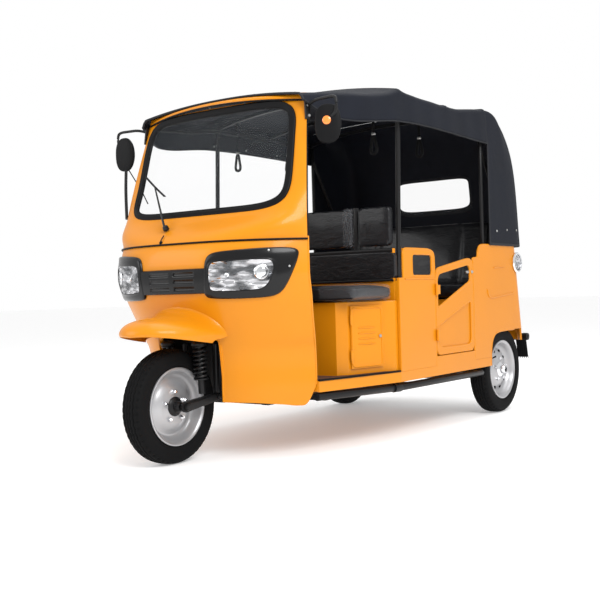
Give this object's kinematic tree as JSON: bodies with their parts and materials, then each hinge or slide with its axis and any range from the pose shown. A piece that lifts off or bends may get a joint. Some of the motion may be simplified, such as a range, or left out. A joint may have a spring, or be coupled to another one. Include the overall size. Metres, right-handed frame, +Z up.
{
  "type": "auto rickshaw",
  "caption": "Three-wheeled passenger auto rickshaw with a steered front wheel, open driver's seat, half doors, rear bench and a cloth canopy roof.",
  "frame": {"origin": "centre of the bounding box on the ground, midway between the front tyre's tread and the rear bumper", "axes": "+Z up, -Y to the front of the vehicle, +X to the vehicle's left"},
  "size_m": [1.3981, 2.915, 1.812],
  "materials": {
    "body_paint": "gloss",
    "black_paint": "satin",
    "canopy_cloth": "matt coated cloth",
    "seat_vinyl": "satin vinyl",
    "black_rubber": "satin",
    "brown_mat": "matt",
    "dark_plastic": "gloss",
    "clear_glass": "clear",
    "lamp_chrome": "faceted reflector",
    "lamp_clear": "clear lens",
    "lamp_red": "red lens",
    "cast_alloy": "as cast",
    "tyre_rubber": "moulded rubber",
    "wheel_steel": "silver paint"
  },
  "bodies": {
    "body": {"chassis_frame": "black_paint", "floor_pan": "body_paint", "floor_mat": "brown_mat", "front_cowl": "body_paint", "front_beak": "body_paint", "wheel_well": "black_paint", "windscreen_panel": "body_paint", "cowl_seam": "black_rubber", "windscreen_seal": "black_rubber", "windscreen_glass": "clear_glass", "front_visor": "body_paint", "headlamp_surrounds": "dark_plastic", "headlamps": "lamp_chrome", "grille_band": "dark_plastic", "wiper": "dark_plastic", "mirrors": "black_rubber", "seat_box": "body_paint", "driver_cushion": "seat_vinyl", "driver_backrest": "seat_vinyl", "partition": "body_paint", "side_sills": "body_paint", "b_post_panels": "body_paint", "quarter_panels": "body_paint", "rear_panel": "body_paint", "roof_frame": "black_paint", "canopy_roof": "canopy_cloth", "canopy_rear": "canopy_cloth", "rear_window": "clear_glass", "rear_seat_box": "body_paint", "rear_cushion": "seat_vinyl", "rear_backrest": "seat_vinyl", "engine_block": "cast_alloy", "rear_axle": "black_paint", "rear_bumper": "black_paint", "mud_flaps": "black_rubber", "tail_lamps": "lamp_red", "marker_lamps": "lamp_clear", "grab_straps": "black_rubber"},
    "steering": {"steering_fork": "black_paint", "front_shocks": "black_paint", "handlebar": "black_paint"},
    "front_wheel": {"front_tyre": "tyre_rubber", "front_rim": "wheel_steel"},
    "rear_left_wheel": {"rear_tyre_left": "tyre_rubber", "rear_rim_left": "wheel_steel"},
    "rear_right_wheel": {"rear_tyre_right": "tyre_rubber", "rear_rim_right": "wheel_steel"},
    "left_door": {"door_left": "body_paint"},
    "right_door": {"door_right": "body_paint"},
    "seat_access_door": {"seat_box_door": "body_paint"},
    "engine_door": {"engine_hatch": "body_paint"}
  },
  "joints": [
    {"name": "steering_turn", "type": "hinge", "parent": "body", "child": "steering", "pos_m": [0, -0.92834, 0.7], "axis": [0, 0.4067, 0.9135], "range_deg": [-35, 35]},
    {"name": "front_wheel_spin", "type": "hinge", "parent": "steering", "child": "front_wheel", "pos_m": [0, -1.2, 0.2575], "axis": [1, 0, 0], "continuous": true},
    {"name": "rear_left_spin", "type": "hinge", "parent": "body", "child": "rear_left_wheel", "pos_m": [0.545, 1.05, 0.2575], "axis": [1, 0, 0], "continuous": true},
    {"name": "rear_right_spin", "type": "hinge", "parent": "body", "child": "rear_right_wheel", "pos_m": [-0.545, 1.05, 0.2575], "axis": [1, 0, 0], "continuous": true},
    {"name": "left_door_swing", "type": "hinge", "parent": "body", "child": "left_door", "pos_m": [0.629, 0.176, 0.66], "axis": [0, 0, -1], "range_deg": [0, 75]},
    {"name": "right_door_swing", "type": "hinge", "parent": "body", "child": "right_door", "pos_m": [-0.629, 0.176, 0.66], "axis": [0, 0, 1], "range_deg": [0, 75]},
    {"name": "seat_door_swing", "type": "hinge", "parent": "body", "child": "seat_access_door", "pos_m": [0.52742, -0.5033, 0.53], "axis": [0, 0, -1], "range_deg": [0, 80]},
    {"name": "engine_door_lift", "type": "hinge", "parent": "body", "child": "engine_door", "pos_m": [0, 1.3355, 0.799], "axis": [1, 0, 0], "range_deg": [0, 70]}
  ]
}
